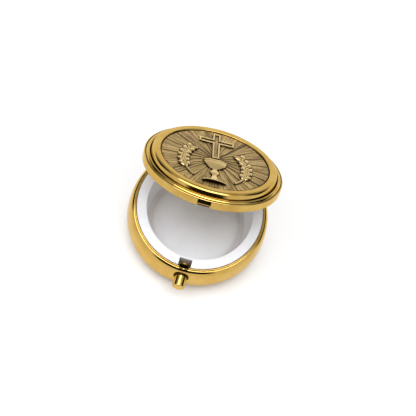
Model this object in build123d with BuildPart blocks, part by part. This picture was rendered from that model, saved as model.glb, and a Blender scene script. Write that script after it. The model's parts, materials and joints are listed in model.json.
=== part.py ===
"""A round push-button pyx: gilt brass bowl with a white tray, a hinged lid with a cast medallion and a catch.

Millimetres, +Z up. The origin is the middle of the underside, the button points to -Y and the hinge is at +Y.
The lid is modelled closed and then turned about its hinge pin to the part-open pose of rest.
"""

import os
from math import cos, pi, radians, sin, sqrt

from build123d import *

os.makedirs("parts", exist_ok=True)

# Bowl
base_radius = 25.0
widest_height = 6.4
foot_inset = 5.2
base_wall = 0.8
base_floor = 1.0
side_lean = 0.55
side_rise = 6.2
shoulder_width = 1.15
shoulder_rise = 1.6
neck_step = 0.3
neck_wall = 0.5
neck_height = 0.55

# Tray
tray_clearance = 0.15
tray_rim_rise = 0.18
tray_rim_thickness = 1.3
tray_rim_width = 3.41
tray_draft = 1.74
tray_wall = 0.9
tray_floor = 1.1
tray_floor_fillet = 1.6
tray_mouth_fillet = 0.55
tray_rim_fillet = 0.25
tray_notch_width = 4.5
tray_notch_wall = 0.5

# Lid
lid_overhang = 0.35
lid_wall = 0.6
lid_overlap = 0.45
skirt_height = 2.8
skirt_edge_round = 0.3
ledge_width = 0.6
groove_depth = 0.2
bead_width = 1.65
bead_rise = 0.95
bead_crown = 0.42
bezel_lean = 0.2
bezel_wall_rise = 0.55
bezel_edge_round = 1.1
bezel_width = 2.85
pan_depth = 1.4
lid_notch_width = 4.7
lid_notch_height = 2.3

# Medallion
medallion_clearance = 0.1
medallion_thickness = 1.0
medallion_turn = 5.0
ray_count = 24
ray_rise = 0.14
ray_inner_radius = 2.2
ray_margin = 0.5
relief_rise = 0.55
cross_width = 2.7
cross_span = 12.6
cross_foot = 0.6
cross_margin = 1.3
cross_head = 5.4
cross_frame = 0.7
cross_floor = 0.15

# Chalice and wheat ears on the medallion
chalice_gap = 2.2
chalice_margin = 3.2
chalice_cup_radius = 4.2
chalice_cup_height = 5.4
chalice_stem_width = 1.6
chalice_knop_radius = 1.5
chalice_foot_radius = 4.0
chalice_foot_height = 3.7
ear_offset = 11.2
ear_bottom = -13.6
ear_top = 5.2
ear_foot_offset = 7.2
ear_tip_offset = 8.4
ear_stalk_width = 1.0
grain_pairs = 6
grain_start = 0.36
grain_length = 3.7
grain_width = 1.9
grain_spread = 1.2
grain_lean = 27.0

# Push button and catch
button_drop = 2.2
button_radius = 2.2
button_proud = 3.85
button_end_round = 0.35
button_travel = 0.8
spring_bore_radius = 1.45
spring_bore_depth = 2.2
shank_radius = 0.6
shank_head = 0.25
bush_radius = 2.8
bush_sink = 0.25
bush_length = 2.0
bush_web = 0.4
bush_mouth_depth = 0.5
bush_mouth_gap = 0.35
slide_clearance = 0.05
spacer_radius = 1.3
hook_width = 3.0
hook_thickness = 0.5
hook_inset = 1.2
hook_below = 1.3
hook_crown = 0.6
nose_reach = 0.25
nose_height = 0.45
nose_gap = 0.15
catch_clearance = 0.06
tongue_width = 4.1
tongue_thickness = 0.5
tongue_gap = 0.45
tongue_drop = 1.2
tongue_foot = 3.4
tongue_bend = 1.0
barb_height = 0.45
neck_cut_radius = 1.75
neck_cut_rise = 0.3

# Coil spring inside the button
spring_wire_radius = 0.16
spring_mean_radius = 1.04
spring_turns = 3
spring_end_gap = 0.05

# Hinge
hinge_reach = 2.2
hinge_rise = 0.8
pin_radius = 0.7
pin_clearance = 0.03
knuckle_radius = 1.5
knuckle_length = 4.0
knuckle_gap = 0.15
base_knuckle_length = 2.5
strap_thickness = 0.7
strap_width = 8.0
strap_pad_margin = 0.35
strap_neck_height = 3.4
strap_clearance = 0.5
strap_corner_round = 0.8
pin_proud = 0.2
pin_end_chamfer = 0.15
leaf_thickness = 0.7
leaf_height = 2.2
leaf_gap = 0.5
arm_rise = 0.9

# Pose of rest
lid_open_angle = 36.0

# Radii, heights and places that follow from the sizes above
foot_radius = base_radius - foot_inset
side_top_radius = base_radius - side_lean
side_top_height = widest_height + side_rise
shoulder_radius = side_top_radius - shoulder_width
shoulder_height = side_top_height + shoulder_rise
neck_radius = shoulder_radius - neck_step
neck_top = shoulder_height + neck_height
neck_inner_radius = neck_radius - neck_wall
tray_rim_top = neck_top + tray_rim_rise
tray_rim_radius = neck_inner_radius - tray_clearance
tray_mouth_radius = tray_rim_radius - tray_rim_width
tray_floor_radius = tray_mouth_radius - tray_draft
tray_floor_top = base_floor + tray_floor
tray_notch_face = tray_mouth_radius + tray_notch_wall
lid_radius = side_top_radius + lid_overhang
lid_edge = shoulder_height - lid_overlap
groove_radius = lid_radius - ledge_width
groove_height = skirt_height - groove_depth
bead_inner_radius = groove_radius - bead_width
bead_height = groove_height + bead_rise
bezel_radius = bead_inner_radius - bezel_lean
bezel_wall_height = bead_height + bezel_wall_rise
bezel_height = bezel_wall_height + bezel_edge_round
pan_radius = bezel_radius - bezel_width
pan_height = bezel_height - pan_depth
medallion_radius = pan_radius - medallion_clearance
medallion_bottom = lid_edge + pan_height
medallion_field = medallion_bottom + medallion_thickness
ray_reach = medallion_radius - ray_margin
cross_top = ray_reach - cross_margin
cross_bar_middle = cross_top - cross_head
chalice_top = cross_foot - chalice_gap
chalice_bottom = chalice_margin - ray_reach
hinge_y = base_radius + hinge_reach
hinge_height = widest_height + hinge_rise
hinge_axis = Axis((0, hinge_y, hinge_height), (1, 0, 0))
button_height = side_top_height - button_drop
button_end = base_radius + button_proud
bush_outer_end = base_radius - bush_sink
bush_inner_end = bush_outer_end - bush_length
button_inner_end = bush_inner_end + bush_web + button_travel + 2 * slide_clearance
hook_outer_face = neck_inner_radius - hook_inset
hook_inner_face = hook_outer_face - hook_thickness
nose_tip = hook_outer_face + nose_reach
barb_tip = nose_tip + catch_clearance
tongue_inner_face = hook_outer_face + tongue_gap
tongue_outer_face = tongue_inner_face + tongue_thickness
tongue_bottom = lid_edge - tongue_drop
barb_top = tongue_bottom + barb_height
nose_bottom = barb_top + nose_gap
hook_top = nose_bottom + nose_height + hook_crown
strap_pad_height = skirt_height - strap_pad_margin


def front_plane(distance: float) -> Plane:
    """Upright plane that faces the front, at a distance from the middle; its x is X and its y is Z."""
    return Plane.XZ.offset(distance)


def bowl_side() -> None:
    """Outer curve of the bowl's side, from the foot over the widest place to the shoulder."""
    EllipticalCenterArc(
        (foot_radius, widest_height),
        base_radius - foot_radius,
        widest_height,
        start_angle=270,
        arc_size=90,
    )
    side = TangentArc((base_radius, widest_height), (side_top_radius, side_top_height), tangent=(0, 1))
    TangentArc(side @ 1, (shoulder_radius, shoulder_height), tangent=side % 1)


def opened(part: Part, label: str) -> Part:
    """The lid's piece turned about the hinge pin to the pose of rest."""
    turned = part.rotate(hinge_axis, -lid_open_angle)
    turned.label = label
    return turned


# Bowl, spun from sheet, with the holes for the bush and the catch
with BuildPart() as base_shell:
    with BuildSketch(Plane.XZ):
        with BuildLine():
            Polyline((0, base_floor), (0, 0), (foot_radius, 0))
            bowl_side()
            Polyline(
                (shoulder_radius, shoulder_height),
                (neck_radius, shoulder_height),
                (neck_radius, neck_top - neck_wall / 2),
            )
            ThreePointArc(
                (neck_radius, neck_top - neck_wall / 2),
                (neck_radius - neck_wall / 2, neck_top),
                (neck_inner_radius, neck_top - neck_wall / 2),
            )
            Polyline(
                (neck_inner_radius, neck_top - neck_wall / 2),
                (neck_inner_radius, shoulder_height - base_wall),
                (side_top_radius - base_wall, side_top_height),
            )
            TangentArc(
                (base_radius - base_wall, widest_height),
                (side_top_radius - base_wall, side_top_height),
                tangent=(0, 1),
            )
            EllipticalCenterArc(
                (foot_radius, widest_height),
                base_radius - base_wall - foot_radius,
                widest_height - base_floor,
                start_angle=270,
                arc_size=90,
            )
            Line((foot_radius, base_floor), (0, base_floor))
        make_face()
    revolve(axis=Axis.Z)
    with BuildSketch(front_plane(tray_rim_radius - base_wall)):
        with Locations((0, button_height)):
            Circle(bush_radius)
    extrude(amount=base_radius, mode=Mode.SUBTRACT)
    with BuildSketch(front_plane(tray_rim_radius)):
        with Locations((0, neck_top + neck_cut_rise)):
            Circle(neck_cut_radius)
    extrude(amount=shoulder_radius - tray_rim_radius, mode=Mode.SUBTRACT)
base_shell.part.label = "base_shell"
export_step(base_shell.part, "parts/base_shell.step")

# Tray that stands on the bowl's floor, with the notch for the catch in its rim
with BuildPart() as tray_insert:
    with BuildSketch(Plane.XZ) as tray_section:
        with BuildLine():
            Polyline(
                (0, base_floor),
                (tray_floor_radius + tray_wall, base_floor),
                (tray_mouth_radius + tray_wall, tray_rim_top - tray_rim_thickness),
                (tray_rim_radius, tray_rim_top - tray_rim_thickness),
                (tray_rim_radius, tray_rim_top),
                (tray_mouth_radius, tray_rim_top),
                (tray_floor_radius, tray_floor_top),
                (0, tray_floor_top),
                close=True,
            )
        make_face()
        corner = tray_section.vertices()
        fillet(corner.sort_by_distance((tray_floor_radius, tray_floor_top))[0], tray_floor_fillet)
        fillet(corner.sort_by_distance((tray_mouth_radius, tray_rim_top))[0], tray_mouth_fillet)
        fillet(corner.sort_by_distance((tray_rim_radius, tray_rim_top))[0], tray_rim_fillet)
        fillet(corner.sort_by_distance((tray_floor_radius + tray_wall, base_floor))[0], tray_wall)
    revolve(axis=Axis.Z)
    with BuildSketch(front_plane(tray_notch_face)):
        with Locations((0, button_height - bush_radius)):
            Rectangle(tray_notch_width, tray_rim_top, align=(Align.CENTER, Align.MIN))
    extrude(amount=neck_radius - tray_notch_face, mode=Mode.SUBTRACT)
tray_insert.part.label = "tray_insert"
export_step(tray_insert.part, "parts/tray_insert.step")

# Sleeve that guides the button, with a web that carries the spring and lets the shank through
with BuildPart() as button_bush:
    with BuildSketch(front_plane(bush_inner_end)):
        with Locations((0, button_height)):
            Circle(bush_radius)
    extrude(amount=bush_outer_end - bush_inner_end)
    with BuildSketch(front_plane(bush_inner_end + bush_web)):
        with Locations((0, button_height)):
            Circle(button_radius + slide_clearance)
    extrude(amount=bush_outer_end - bush_inner_end, mode=Mode.SUBTRACT)
    with BuildSketch(front_plane(bush_outer_end - bush_mouth_depth)):
        with Locations((0, button_height)):
            Circle(button_radius + bush_mouth_gap)
    extrude(amount=bush_mouth_depth, mode=Mode.SUBTRACT)
    with BuildSketch(front_plane(bush_inner_end)):
        with Locations((0, button_height)):
            Circle(shank_radius + slide_clearance)
    extrude(amount=bush_web, mode=Mode.SUBTRACT)
button_bush.part.label = "button_bush"
export_step(button_bush.part, "parts/button_bush.step")

# Button with its shank, turned about its own axis
with BuildPart() as push_button:
    button_floor = button_inner_end + spring_bore_depth
    shank_end = hook_inner_face - shank_head
    with BuildSketch(Plane.XY.offset(button_height)) as button_section:
        with BuildLine():
            Polyline(
                (0, -shank_end),
                (shank_radius, -shank_end),
                (shank_radius, -button_floor),
                (spring_bore_radius, -button_floor),
                (spring_bore_radius, -button_inner_end),
                (button_radius, -button_inner_end),
                (button_radius, -button_end),
                (0, -button_end),
                close=True,
            )
        make_face()
        fillet(button_section.vertices().sort_by_distance((button_radius, -button_end))[0], button_end_round)
    revolve(axis=Axis((0, 0, button_height), (0, 1, 0)))
push_button.part.label = "push_button"
export_step(push_button.part, "parts/push_button.step")

# Collar on the shank between the bush and the hook
with BuildPart() as shank_spacer:
    with BuildSketch(front_plane(hook_outer_face)):
        with Locations((0, button_height)):
            Circle(spacer_radius)
            Circle(shank_radius, mode=Mode.SUBTRACT)
    extrude(amount=bush_inner_end - slide_clearance - hook_outer_face)
shank_spacer.part.label = "shank_spacer"
export_step(shank_spacer.part, "parts/shank_spacer.step")

# Round-topped strip on the shank whose nose holds the lid's tongue
with BuildPart() as catch_hook:
    with BuildSketch(front_plane(hook_inner_face)):
        with BuildLine():
            half_hook = hook_width / 2
            Polyline(
                (-half_hook, hook_top - half_hook),
                (-half_hook, button_height - hook_below),
                (half_hook, button_height - hook_below),
                (half_hook, hook_top - half_hook),
            )
            ThreePointArc((half_hook, hook_top - half_hook), (0, hook_top), (-half_hook, hook_top - half_hook))
        make_face()
        with Locations((0, button_height)):
            Circle(shank_radius, mode=Mode.SUBTRACT)
    extrude(amount=hook_thickness)
    with BuildSketch(Plane.YZ.offset(-half_hook / 2)):
        with BuildLine():
            Polyline(
                (-hook_outer_face, nose_bottom),
                (-nose_tip, nose_bottom),
                (-hook_outer_face, nose_bottom + nose_height),
                close=True,
            )
        make_face()
    extrude(amount=half_hook)
catch_hook.part.label = "catch_hook"
export_step(catch_hook.part, "parts/catch_hook.step")


def spring_points() -> tuple[list[Vector], list[Vector]]:
    """Quarter-turn points of the spring's centre line and the directions there."""
    first = button_floor - spring_wire_radius - spring_end_gap
    last = bush_inner_end + bush_web + spring_wire_radius + spring_end_gap
    quarters = 4 * spring_turns
    rise = (first - last) / quarters
    places = []
    ways = []
    for number in range(quarters + 1):
        turn = number * pi / 2
        places.append(
            Vector(
                spring_mean_radius * cos(turn),
                -first + rise * number,
                button_height + spring_mean_radius * sin(turn),
            )
        )
        ways.append(Vector(-sin(turn), rise / (spring_mean_radius * pi / 2), cos(turn)).normalized())
    return places, ways


def biarc_middle(start: Vector, start_way: Vector, end: Vector, end_way: Vector) -> Vector:
    """Point where two arcs meet that leave start and reach end along the given directions."""
    chord = end - start
    ways = start_way + end_way
    square = 2 * (1 - start_way.dot(end_way))
    along = chord.dot(ways)
    reach = (sqrt(along**2 + square * chord.dot(chord)) - along) / square
    return (start + start_way * reach + end - end_way * reach) / 2


# Coil spring between the button and the web of the bush
spring_places, spring_ways = spring_points()
with BuildPart() as button_spring:
    with BuildLine() as spring_path:
        for number in range(len(spring_places) - 1):
            start, end = spring_places[number : number + 2]
            start_way, end_way = spring_ways[number : number + 2]
            middle = biarc_middle(start, start_way, end, end_way)
            first_arc = TangentArc(start, middle, tangent=start_way)
            TangentArc(middle, end, tangent=first_arc % 1)
    with BuildSketch(Plane(spring_places[0], z_dir=spring_ways[0])):
        Circle(spring_wire_radius)
    sweep(path=spring_path.wire())
button_spring.part.label = "button_spring"
export_step(button_spring.part, "parts/button_spring.step")

spring_wire = spring_path.wire()
spring_samples = [spring_wire.position_at(step / 240) for step in range(241)]
turn_samples = 240 // spring_turns
spring_gap = min(
    (spring_samples[a] - spring_samples[b]).length
    for a in range(241)
    for b in range(a + turn_samples // 2, 241)
) - 2 * spring_wire_radius
print(f"button_spring: least gap between turns {spring_gap:.2f} mm")

# Stamped lid: skirt, groove, bead, second groove, rounded bezel and the pan for the medallion
with BuildPart() as lid_shell:
    with BuildSketch(Plane.XZ) as lid_section:
        with BuildLine():
            skirt_top = lid_edge + skirt_height
            groove_z = lid_edge + groove_height
            bead_z = lid_edge + bead_height
            bezel_wall_z = lid_edge + bezel_wall_height
            bezel_z = lid_edge + bezel_height
            pan_z = lid_edge + pan_height
            corner_share = 1 - sqrt(0.5)
            bead_slope = sqrt(bead_width**2 + bead_rise**2)
            Polyline(
                (lid_radius - lid_wall, lid_edge),
                (lid_radius, lid_edge),
                (lid_radius, skirt_top - skirt_edge_round),
            )
            ThreePointArc(
                (lid_radius, skirt_top - skirt_edge_round),
                (lid_radius - skirt_edge_round * corner_share, skirt_top - skirt_edge_round * corner_share),
                (lid_radius - skirt_edge_round, skirt_top),
            )
            Line((lid_radius - skirt_edge_round, skirt_top), (groove_radius, groove_z))
            ThreePointArc(
                (groove_radius, groove_z),
                (
                    (groove_radius + bead_inner_radius) / 2 + bead_crown * bead_rise / bead_slope,
                    (groove_z + bead_z) / 2 + bead_crown * bead_width / bead_slope,
                ),
                (bead_inner_radius, bead_z),
            )
            Line((bead_inner_radius, bead_z), (bezel_radius, bezel_wall_z))
            ThreePointArc(
                (bezel_radius, bezel_wall_z),
                (bezel_radius - bezel_edge_round * corner_share, bezel_z - bezel_edge_round * corner_share),
                (bezel_radius - bezel_edge_round, bezel_z),
            )
            Polyline(
                (bezel_radius - bezel_edge_round, bezel_z),
                (pan_radius, bezel_z),
                (pan_radius, pan_z),
                (0, pan_z),
                (0, pan_z - lid_wall),
                (pan_radius + lid_wall, pan_z - lid_wall),
                (pan_radius + lid_wall, bezel_z - lid_wall),
                (bezel_radius - bezel_edge_round, bezel_z - lid_wall),
                (bezel_radius - lid_wall, bezel_wall_z),
                (bezel_radius - lid_wall, bead_z - lid_wall),
                (lid_radius - lid_wall, groove_z - lid_wall),
                (lid_radius - lid_wall, lid_edge),
            )
        make_face()
    revolve(axis=Axis.Z)
    with BuildSketch(front_plane(bead_inner_radius)):
        with Locations((0, lid_edge)):
            Rectangle(lid_notch_width, lid_notch_height, align=(Align.CENTER, Align.MIN))
    extrude(amount=lid_radius - bead_inner_radius + lid_wall, mode=Mode.SUBTRACT)
export_step(opened(lid_shell.part, "lid_shell"), "parts/lid_shell.step")

# Cast medallion in the pan: field, sunburst rays, outlined cross, chalice and two ears of wheat
turn = radians(medallion_turn)
medallion_plane = Plane((0, 0, medallion_field), x_dir=(cos(turn), sin(turn), 0))
with BuildPart() as medallion:
    with BuildSketch(Plane.XY.offset(medallion_bottom)):
        Circle(medallion_radius)
    extrude(amount=medallion_thickness)
    with BuildSketch(medallion_plane):
        ray_half = ray_reach * sin(pi / ray_count / 2)
        with PolarLocations(0, ray_count, start_angle=90):
            Polygon((ray_inner_radius, 0), (ray_reach, -ray_half), (ray_reach, ray_half), align=None)
    extrude(amount=ray_rise)
    with BuildSketch(medallion_plane):
        cross_middle = (cross_top + cross_foot) / 2
        with Locations((0, cross_middle)):
            Rectangle(cross_width, cross_top - cross_foot)
        with Locations((0, cross_bar_middle)):
            Rectangle(cross_span, cross_width)
    extrude(amount=relief_rise)
    with BuildSketch(medallion_plane.offset(cross_floor)):
        channel = cross_width - 2 * cross_frame
        with Locations((0, cross_middle)):
            Rectangle(channel, cross_top - cross_foot - 2 * cross_frame)
        with Locations((0, cross_bar_middle)):
            Rectangle(cross_span - 2 * cross_frame, channel)
    extrude(amount=relief_rise, mode=Mode.SUBTRACT)
    with BuildSketch(medallion_plane):
        half_stem = chalice_stem_width / 2
        cup_bottom = chalice_top - chalice_cup_height
        foot_top = chalice_bottom + chalice_foot_height
        with BuildLine():
            Line((half_stem, cup_bottom), (half_stem, foot_top))
            TangentArc((half_stem, foot_top), (chalice_foot_radius, chalice_bottom), tangent=(0, -1))
            Polyline(
                (chalice_foot_radius, chalice_bottom),
                (0, chalice_bottom),
                (0, chalice_top),
                (chalice_cup_radius, chalice_top),
            )
            TangentArc((chalice_cup_radius, chalice_top), (half_stem, cup_bottom), tangent=(0, -1))
        make_face()
        mirror(about=Plane.YZ)
        with Locations((0, (cup_bottom + foot_top) / 2)):
            Circle(chalice_knop_radius)
    extrude(amount=relief_rise)
    with BuildSketch(medallion_plane):
        for side in (-1, 1):
            with BuildLine(mode=Mode.PRIVATE) as stalk:
                ThreePointArc(
                    (side * ear_foot_offset, ear_bottom),
                    (side * ear_offset, (ear_bottom + ear_top) / 2),
                    (side * ear_tip_offset, ear_top),
                )
            SlotArc(stalk.edge(), ear_stalk_width)
            for number in range(grain_pairs):
                share = grain_start + (1 - grain_start) * number / (grain_pairs - 1)
                spot = stalk.edge() @ share
                way = Vector(1, 0).get_signed_angle(stalk.edge() % share)
                for hand in (-1, 1):
                    place = Location(spot, (0, 0, way + hand * grain_lean))
                    with Locations(place * Location((0, hand * grain_spread))):
                        Ellipse(grain_length / 2, grain_width / 2)
    extrude(amount=relief_rise)
export_step(opened(medallion.part, "medallion"), "parts/medallion.step")

# Bent strip under the lid's pan that goes down into the notch of the tray
with BuildPart() as catch_tongue:
    with BuildSketch(Plane.YZ.offset(-tongue_width / 2)):
        with BuildLine():
            foot_face = lid_edge + pan_height - lid_wall
            bend_shift = tongue_thickness * (sqrt(2) - 1)
            Polyline(
                (-tongue_inner_face, tongue_bottom),
                (-tongue_outer_face, tongue_bottom),
                (-tongue_outer_face, foot_face - tongue_bend),
                (tongue_bend - tongue_outer_face, foot_face),
                (tongue_foot - tongue_outer_face, foot_face),
                (tongue_foot - tongue_outer_face, foot_face - tongue_thickness),
                (tongue_bend + bend_shift - tongue_outer_face, foot_face - tongue_thickness),
                (-tongue_inner_face, foot_face - tongue_bend - bend_shift),
                (-tongue_inner_face, barb_top),
                (-barb_tip, barb_top),
                close=True,
            )
        make_face()
    extrude(amount=tongue_width)
export_step(opened(catch_tongue.part, "catch_tongue"), "parts/catch_tongue.step")

# Strap on the back of the skirt with the middle knuckle
with BuildPart() as lid_hinge_strap:
    strap_top = lid_edge + strap_pad_height
    strap_face = base_radius + strap_clearance
    with BuildSketch(Plane.YZ.offset(-strap_width / 2)):
        with BuildLine():
            Polyline(
                (lid_radius - strap_thickness, strap_top),
                (lid_radius + strap_thickness, strap_top),
                (lid_radius + strap_thickness, lid_edge),
                (strap_face + strap_thickness, hinge_height + knuckle_radius),
                (hinge_y, hinge_height),
                (strap_face, hinge_height),
                (strap_face, hinge_height + knuckle_radius),
                (lid_radius, lid_edge),
                (lid_radius - strap_thickness, lid_edge),
                close=True,
            )
        make_face()
        with Locations((hinge_y, hinge_height)):
            Circle(knuckle_radius)
    extrude(amount=strap_width)
    with BuildSketch(front_plane(-hinge_y - knuckle_radius)) as strap_outline:
        with BuildLine():
            Polyline(
                (-knuckle_length / 2, hinge_height - knuckle_radius),
                (-knuckle_length / 2, hinge_height + strap_neck_height),
                (-strap_width / 2, lid_edge),
                (-strap_width / 2, strap_top),
                (strap_width / 2, strap_top),
                (strap_width / 2, lid_edge),
                (knuckle_length / 2, hinge_height + strap_neck_height),
                (knuckle_length / 2, hinge_height - knuckle_radius),
                close=True,
            )
        make_face()
        fillet(strap_outline.vertices().group_by(Axis.Y)[-1], strap_corner_round)
    extrude(amount=hinge_y + knuckle_radius, mode=Mode.INTERSECT)
    with BuildSketch(Plane.YZ.offset(-knuckle_length / 2)):
        with Locations((hinge_y, hinge_height)):
            Circle(pin_radius + pin_clearance)
    extrude(amount=knuckle_length, mode=Mode.SUBTRACT)
    with BuildSketch(Plane.XY.offset(lid_edge)):
        Circle(lid_radius)
    extrude(amount=strap_pad_height, mode=Mode.SUBTRACT)
export_step(opened(lid_hinge_strap.part, "lid_hinge_strap"), "parts/lid_hinge_strap.step")

# Leaf on the back of the bowl with the two outer knuckles
with BuildPart() as base_hinge_leaf:
    arm_start = knuckle_length / 2 + knuckle_gap
    arm_end = arm_start + base_knuckle_length
    leaf_top = hinge_height - knuckle_radius - leaf_gap
    for side in (-arm_end, arm_start):
        with BuildSketch(Plane.YZ.offset(side)):
            with BuildLine():
                Polyline(
                    (shoulder_radius, leaf_top),
                    (base_radius + leaf_thickness, leaf_top),
                    (hinge_y, hinge_height - knuckle_radius),
                    (hinge_y, hinge_height),
                    (base_radius + leaf_thickness, hinge_height + arm_rise),
                    (shoulder_radius, hinge_height + arm_rise),
                    close=True,
                )
            make_face()
            with Locations((hinge_y, hinge_height)):
                Circle(knuckle_radius)
                Circle(pin_radius, mode=Mode.SUBTRACT)
        extrude(amount=base_knuckle_length)
    with BuildSketch(Plane.YZ.offset(-arm_end)):
        with Locations((base_radius + leaf_thickness, leaf_top)):
            Rectangle(base_radius + leaf_thickness - foot_radius, leaf_height, align=(Align.MAX, Align.MAX))
    extrude(amount=2 * arm_end)
    with BuildSketch(Plane.XZ):
        with BuildLine():
            bowl_side()
            Polyline((shoulder_radius, shoulder_height), (0, shoulder_height), (0, 0), (foot_radius, 0))
        make_face()
    revolve(axis=Axis.Z, mode=Mode.SUBTRACT)
base_hinge_leaf.part.label = "base_hinge_leaf"
export_step(base_hinge_leaf.part, "parts/base_hinge_leaf.step")

# Pin through the three knuckles
with BuildPart() as hinge_pin:
    pin_half = arm_end + pin_proud
    with BuildSketch(Plane.YZ.offset(-pin_half)):
        with Locations((hinge_y, hinge_height)):
            Circle(pin_radius)
    extrude(amount=2 * pin_half)
    chamfer(hinge_pin.edges().filter_by(GeomType.CIRCLE), pin_end_chamfer)
hinge_pin.part.label = "hinge_pin"
export_step(hinge_pin.part, "parts/hinge_pin.step")
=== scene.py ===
"""Studio scene of a round push-button pyx: gilt brass bowl and lid, white tray, cast bronze medallion.

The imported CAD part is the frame. Bowl, lid, tongue, button and medallion are remodelled here, finer than
their solids. Every other piece keeps its CAD shape and gets its finish. Sizes in the classes are millimetres
and angles are degrees; the built meshes are metres.
"""

import json
import logging
from dataclasses import dataclass
from enum import Enum
from math import atan2, cos, pi, radians, sin, tau
from typing import Any

import bmesh
import bpy
from bmesh.types import BMEdge, BMesh, BMFace, BMVert
from bpy.types import Material, Node, NodeSocket, NodeTree, Object, World
from mathutils import Euler, Matrix, Vector


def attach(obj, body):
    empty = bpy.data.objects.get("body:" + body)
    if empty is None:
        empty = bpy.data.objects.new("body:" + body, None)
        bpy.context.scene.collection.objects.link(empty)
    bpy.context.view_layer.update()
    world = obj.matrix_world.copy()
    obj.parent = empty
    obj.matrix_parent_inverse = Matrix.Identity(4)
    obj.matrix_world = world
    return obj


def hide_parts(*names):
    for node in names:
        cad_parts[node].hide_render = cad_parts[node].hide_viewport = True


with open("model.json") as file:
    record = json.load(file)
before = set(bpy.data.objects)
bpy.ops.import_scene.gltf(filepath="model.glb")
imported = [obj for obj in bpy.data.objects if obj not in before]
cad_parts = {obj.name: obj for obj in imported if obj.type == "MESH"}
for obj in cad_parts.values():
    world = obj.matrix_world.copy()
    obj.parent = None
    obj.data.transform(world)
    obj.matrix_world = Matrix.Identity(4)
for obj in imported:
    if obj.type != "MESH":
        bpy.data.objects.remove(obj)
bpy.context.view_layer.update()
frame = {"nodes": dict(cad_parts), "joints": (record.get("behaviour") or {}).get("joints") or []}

LOG = logging.getLogger("pyx")
MM = 0.001
IMAGE_SIZE = 416
SENSOR_WIDTH = 36.0
WELD = 1e-4
SLIVER = 1e-5
SHARP_ANGLE = 40.0
OPENNESS = {"samples": 8, "only_local": True}
MAP_INPUTS = ("Value", "From Min", "From Max", "To Min", "To Max")
NOISE_RANGE = (0.3, 0.7)
CLOUD_RANGE = (0.35, 0.6)
PLASTIC_IOR = 1.49
WHITE = (1.0, 1.0, 1.0, 1.0)

Point = tuple[float, float]
Place = tuple[float, float, float]
Colour = tuple[float, float, float, float]


class Body(Enum):
    """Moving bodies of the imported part."""

    BASE = "base"
    LID = "lid"
    BUTTON = "button"


class Slot(Enum):
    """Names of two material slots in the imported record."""

    GILT = "gilt_brass"
    BRONZE = "antique_bronze"


class Change(Enum):
    """Ways in which a value or a colour moves between two ends."""

    EVEN = "LINEAR"
    SOFT = "SMOOTHSTEP"
    EASED = "EASE"


def linear(hex_code: str) -> Colour:
    """Turns an sRGB hex colour into a linear colour.

    Args:
        hex_code: Colour as six hex digits after a hash sign.

    Returns:
        Linear red, green and blue with an alpha of 1.
    """
    shares = [int(hex_code[place : place + 2], 16) / 255 for place in (1, 3, 5)]
    red, green, blue = [s / 12.92 if s <= 0.04045 else ((s + 0.055) / 1.055) ** 2.4 for s in shares]
    return red, green, blue, 1.0


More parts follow.
